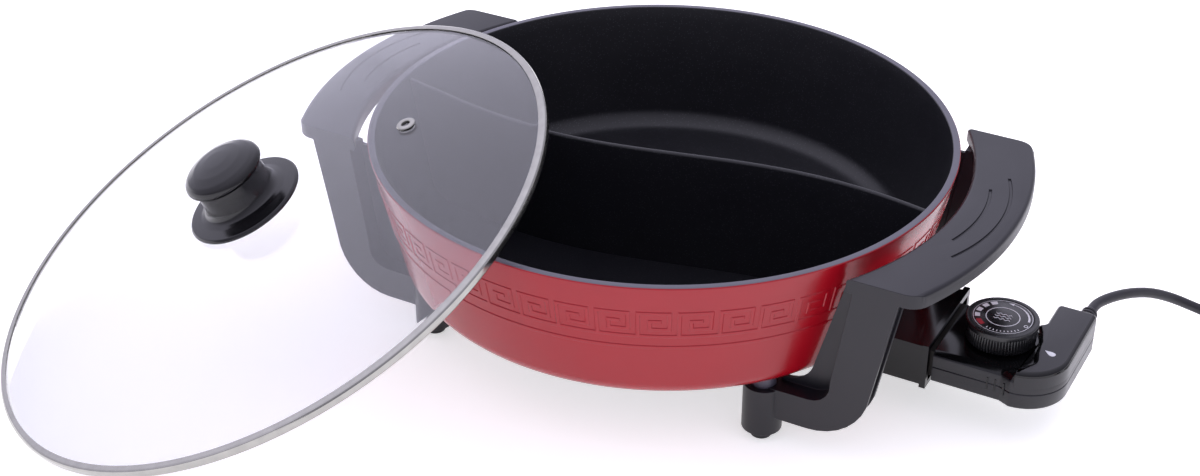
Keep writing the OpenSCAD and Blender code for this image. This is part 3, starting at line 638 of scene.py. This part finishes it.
# the wall's profile (radius, height) from the middle of the underside, over the rim, to the middle of the
# floor, taken round the axis; the key pattern moves the outer wall outwards
def panSkin():
    half, soft, pitch = pan["line"] / 2, pan["soft"], pan["pitch"]
    xs = np.array([x for bar in pan["key"] for x in (bar[0], bar[2])])
    between = [3.5, 8.5, 13.5]
    columns = np.unique(np.round(np.concatenate([xs - half - soft, xs - half + soft, xs + half - soft,
                                                 xs + half + soft, between]) % pitch, 3))
    u = (columns[None] + pitch * np.arange(pan["repeats"])[:, None]).reshape(-1)
    angle = np.radians(u / pitch * 360 / pan["repeats"])
    zs = np.array([z + pan["keyLow"] for bar in pan["key"] for z in (bar[1], bar[3])] + [pan["ring"]])
    rows = np.unique(np.round(np.concatenate([zs - half - soft, zs - half + soft, zs + half - soft,
                                              zs + half + soft, [65, 110]]), 3))
    below = panTop - 8
    top = filleted([(wallRadius(below), below), (panRadius, panTop), (panRadius - pan["rim"], panTop),
                    (innerRadius(below), below)], pan["lip"], 6, closed=False)
    under = [(0, pan["base"]), (60, pan["base"]), (pan["bare"], pan["base"])]
    corner = arc(pan["outer"][:2], pan["outer"][2], -90, outerTouch, 12)
    inside = np.r_[[(innerRadius(z), z) for z in (100, 80)],
                   arc(pan["cove"][:2], pan["cove"][2], coveTouch, -90, 14),
                   [(radius, pan["floor"]) for radius in (100, 50, 0)]]
    profile = np.concatenate([under, corner, np.c_[wallRadius(rows), rows], top, inside])
    first = len(under) + len(corner)
    grid = np.stack([profile[:, :1] * np.cos(angle), profile[:, :1] * np.sin(angle),
                     np.broadcast_to(profile[:, 1:], (len(profile), len(angle)))], -1)
    out = keyHeight(u[None], rows[:, None])
    grid[first:first + len(rows), :, 0] += out * np.cos(angle)
    grid[first:first + len(rows), :, 1] += out * np.sin(angle)
    zone = np.zeros(len(profile) - 1, int)
    lip = first + len(rows)
    zone[:2] = 3                    # bare metal underneath
    zone[lip + 5:lip + 10] = 1      # the rim's grey coat
    zone[lip + 10:] = 2             # the non-stick coat
    return skin(grid, zone)


addPiece("pan_shell", "pan", [panSkin()], [red, rimCoat, coat, alloy], ["pan_body"], crease=26)


# true for the triangles that lie off the pan's turned wall: those of the rib, the lug and the posts
def offWall(corners):
    radius, z = np.hypot(corners[..., 0], corners[..., 1]), corners[..., 2]
    outer = np.abs(radius - wallRadius(z)) < 0.1
    bend = np.abs(np.hypot(radius - pan["outer"][0], z - pan["outer"][1]) - pan["outer"][2]) < 0.1
    inner = (z > pan["base"] + 0.1) & (radius < innerRadius(z) + 0.2)
    base = np.abs(z - pan["base"]) < 0.01
    top = z > panTop - 0.01
    return ~(outer | bend | inner | base | top).all(1)


finishedCopy("pan_underside", "pan_body", "pan", rimCoat, 0.6, 2, keep=offWall)

divider = {"y": -16.5, "x": 20, "swing": 13, "wave": 340, "thick": 3, "drop": 2.5, "gap": 0.4, "lift": 0.05}


# where the divider's middle line is at a distance across: a sine
def dividerLine(x):
    return divider["y"] + divider["swing"] * np.sin(2 * math.pi * (x - divider["x"]) / divider["wave"])


# a wall on a sine's line across the well; each end stops short of the pan's wall, found by repeated
# substitution, and the section is an upright with a rounded top
def dividerSkin():
    top, low, half = panTop - divider["drop"], pan["floor"] + divider["lift"], divider["thick"] / 2
    up = np.r_[low, low + 3, low + 6, low + 9, low + 13, np.linspace(low + 20, top - half, 6)]
    section = np.concatenate([np.c_[np.full(len(up), half), up], arc((0, top - half), half, 20, 160, 7),
                              np.c_[np.full(len(up), -half), up[::-1]]])
    offset, z = section[:, 0], section[:, 1]
    ends = []
    for side in (-1, 1):
        x = np.full(len(z), 140.0)
        for _ in range(12):
            x = np.sqrt((innerRadius(z) - divider["gap"]) ** 2 - dividerLine(side * x) ** 2)
        ends.append(side * x)
    share = np.linspace(0, 1, 97)[:, None]
    x = ends[0] + share * (ends[1] - ends[0])
    slope = (dividerLine(x + 0.1) - dividerLine(x - 0.1)) / 0.2
    size = np.hypot(slope, 1)
    grid = np.stack([x - offset * slope / size, dividerLine(x) + offset / size, np.broadcast_to(z, x.shape)],
                    -1)
    return skin(capped(grid))


addPiece("well_divider", "pan", [dividerSkin()], [coat], ["divider"])
print("pan made")

for side in ("right", "left"):
    node = "handle_" + side
    finishedCopy(node + "_moulding", node, "pan", handleMatt, 0.9, 3)
finishedCopy("shroud_moulding", "socket_shroud", "pan", gloss, 0.6, 3)

foot = {"edge": 0.9, "waist": 3, "swell": 0.4, "top": 5.9, "stem": 4.8, "round": 0.4}


# a short turned plug: rounded tread, slightly waisted side, and a stem up into the handle
def footSkin(node):
    low, high = boxOf(node)
    centre, radius = (low[:2] + high[:2]) / 2, (high[0] - low[0]) / 2
    top, stem, corner = foot["top"], foot["stem"], foot["round"]
    tread = arc((radius - foot["edge"], foot["edge"]), foot["edge"], -90, 0, 6)
    profile = np.r_[[(0, 0)], tread,
                    [(radius - foot["swell"], foot["waist"]), (radius, top - corner), (radius - corner, top),
                     (stem, top), (stem, high[2] - corner), (stem - corner, high[2]), (0, high[2])]]
    return skin(turned(profile, 40, centre))


for node in ("foot_front_right", "foot_front_left", "foot_rear_right", "foot_rear_left"):
    addPiece(node.replace("foot", "rubber_foot"), "pan", [footSkin(node)], [rubber], [node])
dress(sheath, "heating_element")
dress(nickel, "terminal_pins", "shroud_screws", "handle_screws", "handle_washers", "earth_tab")
dress(ceramic, "terminal_insulators", "ceramic_spacers")
dress(brass, "probe_well", "contact_sockets", "wire_terminals", "plug_pins")
print("handles, shroud and feet made")

lid = {"tilt": 26, "turn": 225.3, "low": -0.8, "radius": 171.45, "glass": 169.5, "rise": 21.5, "curve": 2.5,
       "thick": 3.5, "band": 4.2, "vent": 97, "ventTurn": 176, "ventWide": 11.5, "ventHole": 4.6,
       "knobLow": 26, "capLow": 46}
tilt, turn = math.radians(lid["tilt"]), math.radians(lid["turn"])
lidAxes = np.array([(math.cos(tilt) * math.cos(turn), math.cos(tilt) * math.sin(turn), -math.sin(tilt)),
                    (-math.sin(turn), math.cos(turn), 0),
                    (math.sin(tilt) * math.cos(turn), math.sin(tilt) * math.sin(turn), math.cos(tilt))])
rimAlong = trianglesOf("lid_rim")[0] @ lidAxes.T
lidMiddle = (rimAlong.min(0) + rimAlong.max(0)) / 2
lidMiddle[2] = rimAlong[:, 2].min() - lid["low"]


# from the lid's own level frame to its place
def onLid(grid):
    return (grid + lidMiddle) @ lidAxes


# height of the glass's underside: flat in the middle, falling as a power of the radius
def dome(radius):
    return lid["rise"] * (1 - (np.asarray(radius) / lid["glass"]) ** lid["curve"])


# the dome's underside and its parallel top, joined by a rounded edge, taken round the axis
def glassSkin():
    radius = np.r_[0, np.linspace(8, 150, 30), np.linspace(154, lid["glass"], 8)]
    under = np.c_[radius, dome(radius)]
    over = np.c_[radius, dome(radius) + lid["thick"]][::-1]
    edge = arc((lid["glass"] - 0.6, dome(lid["glass"]) + lid["thick"] / 2), 1.2, -60, 60, 5)
    edge[:, 0] = np.minimum(edge[:, 0], lid["glass"])
    return skin(onLid(turned(np.r_[under[:-1], edge, over[1:]], 160)))


# a rolled band: its section is the strip's bead round the glass's edge, every corner rounded
def bandSkin():
    r, w, t, low = lid["radius"], lid["band"], lid["thick"], lid["low"]
    lip = dome(r - w) + t + 0.1
    seat = lid["glass"] + 0.1
    section = [(r - w, lip), (r - w, lip + 0.6), (r - 1.4, t + 1.1), (r - 0.4, t + 0.6), (r, t - 0.4),
               (r, low + 1), (r - 0.4, low + 0.3), (r - 1.2, low), (r - w, low), (r - w, -0.1), (seat, -0.1),
               (seat, t + 0.1)]
    return skin(onLid(turned(filleted(section[::-1], 0.45, 4), 240)), closeRows=True)


# an eyelet: two flanges turned out over and under the glass round one bore, standing square to the dome
def ventSkin():
    r, turnBy = lid["vent"], math.radians(lid["ventTurn"])
    lean = math.atan(lid["rise"] * lid["curve"] * (r / lid["glass"]) ** (lid["curve"] - 1) / lid["glass"])
    hole, wide, t = lid["ventHole"] / 2, lid["ventWide"] / 2, lid["thick"]
    section = [(hole, -t - 1.2), (hole, 0.9), (hole + 0.9, 1.45), (wide - 0.8, 1.0), (wide, 0.15),
               (hole + 0.8, 0.1), (hole + 0.8, -t - 0.15), (wide - 1, -t - 0.2), (wide - 1.2, -t - 1.2)]
    grid = turned(filleted(section, 0.5, 3), 48)
    out = np.array([math.cos(turnBy), math.sin(turnBy), 0])
    side = np.array([-math.sin(turnBy), math.cos(turnBy), 0])
    axes = np.array([out * math.cos(lean) - [0, 0, math.sin(lean)], side,
                     out * math.sin(lean) + [0, 0, math.cos(lean)]])
    return skin(onLid(grid @ axes + out * r + [0, 0, float(dome(r)) + t]), closeRows=True)


addPiece("lid_dome", "lid", [glassSkin()], [glass], ["lid_glass"], crease=40)
addPiece("lid_band", "lid", [bandSkin()], [steel], ["lid_rim"])
addPiece("steam_eyelet", "lid", [ventSkin()], [steel], ["lid_vent"])


# the knob's foot: a broad flange with a rounded edge that sweeps up into the neck
def knobBaseSkin():
    low, cap = lid["knobLow"], lid["capLow"]
    section = [(0, low), (25.5, low), (33.0, low - 0.4), (33.5, low + 0.9), (32.4, low + 2.2),
               (26, low + 2.9), (22, low + 4.2), (20.3, low + 7), (19.5, cap), (0, cap)]
    radii = [0, 1, 0.4, 0.6, 0.8, 6, 4, 6, 0.4, 0]
    return skin(onLid(turned(filleted(section, radii, 5, closed=False), 96)))


# the knob's cap: a flat crowned top that rolls over to a rounded edge
def knobCapSkin():
    low = lid["capLow"]
    section = [(0, low + 0.05), (21, low + 0.05), (23, low + 2.4), (22.2, low + 5.4), (19.5, low + 7.6),
               (14, low + 9.8), (7, low + 11), (0, low + 11.4)]
    radii = [0, 1, 2, 4, 5, 8, 20, 0]
    return skin(onLid(turned(filleted(section, radii, 5, closed=False), 96)))


addPiece("knob_foot", "lid", [knobBaseSkin()], [knobMatt], ["knob_base"])
addPiece("knob_top", "lid", [knobCapSkin()], [knobMatt], ["knob_cap"])
dress(steel, "knob_screw")
dress(rubber, "knob_seals")
print("lid made")

control = {"start": 178.5, "end": 247, "front": -28.2, "back": 27.2, "low": 24, "split": 33.5, "deck": 43.5,
           "raised": 47.5, "bend": (222, -6, 25), "tail": 224.5, "tailEnd": 44, "seam": 0.35}


# the case's outline, counter-clockwise: straight front, step out to the rounded corner, tail and back
def caseOutline():
    c = control
    step = c["bend"][1] - c["bend"][2]
    front = filleted([(c["start"], c["front"]), (216.5, c["front"]), (222.5, step), (223.5, step)],
                     [0, 4, 2, 0], 4, closed=False)
    bend = arc(c["bend"][:2], c["bend"][2], -82, 0, 20)
    rest = filleted([(c["end"], 10), (c["end"], c["tailEnd"]), (c["tail"], c["tailEnd"]), (c["tail"], 21.5),
                     (218, 19.6), (206, 25.5), (c["start"], c["back"])],
                    [0, 3.4, 3, 4.5, 3, 8, 0], 5, closed=False)
    return np.concatenate([front, bend, rest])


# the loop moved inwards by its normals; where it faces the socket it slides along that face
def caseLayers(outline, layers):
    loops = stacked(outline, layers)
    facing = outline[:, 0] < control["start"] + 0.05
    inset = np.array([a for a, z in layers])[:, None]
    loops[:, facing, 0] = outline[facing, 0]
    loops[:, facing, 1] = outline[facing, 1] - np.sign(outline[facing, 1]) * inset
    return loops


# layers of a quarter circle from the side up to a flat: (inset, height)
def rolled(radius, top, across=None, count=5):
    turnBy = np.radians(np.linspace(0, 90, count))
    across = across or radius
    return [(across * (1 - math.cos(t)), top - radius + radius * math.sin(t)) for t in turnBy]


# the outline's layers from a rolled lower edge up to the seam, where it is drawn in
def lowerCase():
    c = control
    edge = [(inset, c["low"] - z) for inset, z in rolled(1.6, 0)][::-1]
    seam = [(0, c["split"] - 0.45), (c["seam"], c["split"] - 0.05)]
    return skin(caseLayers(caseOutline(), edge + seam), ends=True)


# the outline's layers from the seam up to the deck, with a sloping edge in gloss
def upperCase():
    c = control
    layers = [(c["seam"], c["split"] + 0.05), (0, c["split"] + 0.45), (0, c["deck"] - 3.2),
              (0.5, c["deck"] - 2.3), (2.6, c["deck"] - 0.5), (3.1, c["deck"] - 0.1), (3.4, c["deck"])]
    return skin(caseLayers(caseOutline(), layers), [1, 1, 1, 0, 0, 0], ends=True)


# the raised deck over the rounded corner and the tail: matt on top, gloss where its edge rolls over
def raisedDeck():
    c = control
    outline = caseOutline()
    outer = outline[(outline[:, 0] > c["tail"] - 0.1) & ((outline[:, 1] < -24) | (outline[:, 1] > 24)
                                                         | (outline[:, 0] > 240))]
    inner = filleted([(c["tail"], 30), (c["tail"], 22), (220.5, 19), (224.2, 10.5), (226.8, 2), (227.6, -8),
                      (230.2, -17.5), (223.6, -24), (223.6, -31), (226, -31)],
                     [1, 4, 3, 8, 8, 8, 5, 3, 3, 1], 5, closed=False)[1:-1]
    loop = np.concatenate([outer, inner])
    layers = [(-0.03, c["deck"] - 6), (-0.03, c["raised"] - 3)] + rolled(3, c["raised"], 2.4, 6)
    return skin(stacked(loop, layers), [1, 1, 0, 0, 0, 0, 0], ends=True, endMark=1)


ribs = {"at": (209.4, 213.7, 218.8), "halfWide": 0.45, "halfHigh": 4,
        "layers": ((-0.6, 0), (0.25, 0), (0.4, 0.4))}       # how far out, and the share lost in width


# three short upright ribs on the front face, each a rounded loop that shrinks at its outer end
def sideRibs():
    skins = []
    for x in ribs["at"]:
        face = control["front"] - max(0, x - 216) * 0.5
        across, up = roundedLoop(ribs["halfWide"], ribs["halfHigh"], 0.4, 3).T
        loops = [np.c_[x + across * (1 - lost), np.full(len(up), face - out),
                       control["split"] + up * (1 - lost / 8)] for out, lost in ribs["layers"]]
        skins.append(skin(np.stack(loops), ends=True))
    return skins


drop = {"from": (232.6, -4.4), "to": (237.4, -6.4), "halfLong": 3.4, "wide": 2.7, "taper": 0.8}


# a drop lying on the deck: an ellipse whose width falls to nothing at one end by a power of the way along
def pointerSkin():
    turnBy = np.linspace(0, 2 * math.pi, 40, endpoint=False)
    tip, middle = np.array(drop["from"]), np.array(drop["to"])
    away = (middle - tip) / np.linalg.norm(middle - tip)
    side = np.array([-away[1], away[0]])
    along = -np.cos(turnBy)
    wide = drop["wide"] * np.sin(turnBy) * (0.5 + 0.5 * along) ** drop["taper"]
    outline = (tip + middle) / 2 + (along * drop["halfLong"])[:, None] * away + wide[:, None] * side
    return skin(stacked(outline, [(0, control["raised"] - 0.1), (0, control["raised"] + 0.06)]), ends=True)


addPiece("lower_case", "controller", [lowerCase()], [shellMatt], ["controller_bottom"])
addPiece("upper_case", "controller", [upperCase(), raisedDeck()] + sideRibs(), [gloss, shellMatt],
         ["controller_top"])
addPiece("pointer_mark", "controller", [pointerSkin()], [whiteInk])


# a thin ring, a thick collar, three rings that shrink, and a taper, all turned about the cord's line where it
# leaves the case
def reliefSkin():
    x, y, z = cordStart[0], control["tailEnd"], cordStart[2]
    section = [(0, -3.9), (5, -3.9), (5, 0.2), (5.7, 0.2), (5.7, 1.8), (4.8, 1.8), (4.8, 2.6), (6.3, 2.6),
               (6.3, 6.2), (5.2, 7.2), (4.4, 7.2)]
    for i in range(3):
        r, at = 5.1 - 0.3 * i, 8 + 3.2 * i
        section += [(4.2 - 0.2 * i, at), (r, at), (r, at + 2), (4.1 - 0.2 * i, at + 2)]
    section += [(3.6, 18), (0, 18)]
    profile = filleted(section, 0.5, 3, closed=False)
    grid = turned(profile, 36)
    return skin(np.stack([x + grid[..., 0], y + grid[..., 2], z + grid[..., 1]], -1))


addPiece("strain_relief", "controller", [reliefSkin()], [cordSkin], ["cord_relief"])
dress(heatproof, "controller_nose")
dress(nickel, "sensing_probe", "thermostat_frame", "contact_rivets", "controller_screws", "dial_spindle",
      "spindle_clip")
dress(bronze, "bimetal_strip", "contact_blade")
dress(nylon, "thermostat_cam")

dial = {"ribs": 72, "depth": 0.35, "cap": 19.7, "skirt": 18.7, "face": 16.6, "lip": 3}
dialLow, dialHigh = boxOf("dial")
dialCentre = (dialLow[:2] + dialHigh[:2]) / 2
faceTop = boxOf("dial_face")[1][2]
inkLow, inkHigh = faceTop - 0.05, faceTop + 0.05


# the skirt's radius swings in and out once for each rib; the cap above is a rounded ring round a sunk face
def dialSkin():
    low, top = dialLow[2], dialHigh[2]
    cap, skirt = dial["cap"], dial["skirt"]
    knurled = [(skirt - 0.6, low), (skirt, low + 0.5), (skirt, top - 4.2), (skirt, top - 3.7)]
    sunk = dial["face"] + 0.1
    upper = filleted([(cap - 0.5, top - 3.5), (cap, top - 3.2), (cap, top), (sunk, top), (sunk, top - 0.6),
                      (0, top - 0.6)], [0.2, 0.2, 0.9, 0.35, 0.1, 0], 4, closed=False)
    profile = np.r_[[(0, low)], knurled, upper]
    count = dial["ribs"] * 6
    grid = turned(profile, count)
    wave = dial["depth"] * np.cos(np.arange(count) / 6 * 2 * math.pi)
    share = np.zeros(len(profile))
    share[1:4] = (0.5, 1, 1)
    scale = 1 + share[:, None] * wave[None] / skirt
    grid[..., :2] *= scale[..., None]
    grid[..., :2] += dialCentre
    return skin(grid)


# a thin raised sector of print between two radii and two angles, its width following a taper
def printSector(inner, outer, first, last, taper=(1, 1)):
    count = max(4, int(abs(last - first) / 3))
    angle = np.radians(np.linspace(first, last, count + 1))
    share = np.linspace(taper[0], taper[1], count + 1)
    middle, half = (inner + outer) / 2, (outer - inner) / 2 * share
    section = [(middle - half, inkLow), (middle + half, inkLow), (middle + half, inkHigh),
               (middle - half, inkHigh)]
    rows = [np.stack([dialCentre[0] + r * np.cos(angle), dialCentre[1] + r * np.sin(angle),
                      np.full(len(angle), z)], -1) for r, z in section]
    return np.stack(rows, 1)


# two circles, four broad bars, an arrow whose width falls along its arc, a row of ticks, three wavy strokes
# in place of words, a small ring, and one red bar
def printMarks():
    whole = lambda r, w: skin(printSector(r - w / 2, r + w / 2, 0, 360)[:-1], closeRows=True)
    bit = lambda *a, **k: skin(printSector(*a, **k), ends=True)
    white = [whole(9, 0.5), whole(15.9, 0.3)]
    white += [bit(12.2, 15, a - 7.5, a + 7.5) for a in (128, 151, 174, 197)]
    white += [bit(13.4, 14.6, 6, 84, taper=(1, 0.3)), bit(12.9, 15.1, 83, 95, taper=(1, 0.05))]
    white += [bit(13.4, 14.6, a, a + 2.2) for a in range(250, 325, 8)]
    x = np.linspace(-4.6, 4.6, 41)
    for row in (-2.4, 0, 2.4):
        y = row + 0.6 * np.sin(x * 2.2)
        path = np.stack([dialCentre[0] + x, dialCentre[1] + y, np.full(len(x), faceTop)], -1)
        white.append(skin(capped(tube(path, 0.22, 6))))
    small = arc(dialCentre, 14.2, -13, -13, 1)[0]
    ring = turned([(0.8, inkLow), (1.2, inkLow), (1.2, inkHigh), (0.8, inkHigh)], 20, small)
    white.append(skin(ring, closeRows=True))
    return white, [bit(12.2, 15, 215, 237)]


# a disc with a small chamfer round its top, in the CAD disc's box
def faceDisc():
    low, high = boxOf("dial_face")
    radius = (high[0] - low[0]) / 2
    profile = [(0, low[2]), (radius, low[2]), (radius, high[2] - 0.1), (radius - 0.15, high[2]),
               (0, high[2])]
    return skin(turned(profile, 72, dialCentre))


whiteMarks, redMarks = printMarks()
addPiece("knurled_dial", "dial", [dialSkin()], [dialMatt], ["dial"], crease=50)
addPiece("face_disc", "dial", [faceDisc()], [dialMatt], ["dial_face"])
addPiece("white_marks", "dial", whiteMarks, [whiteInk])
addPiece("red_mark", "dial", redMarks, [redInk])
print("controller and dial made")
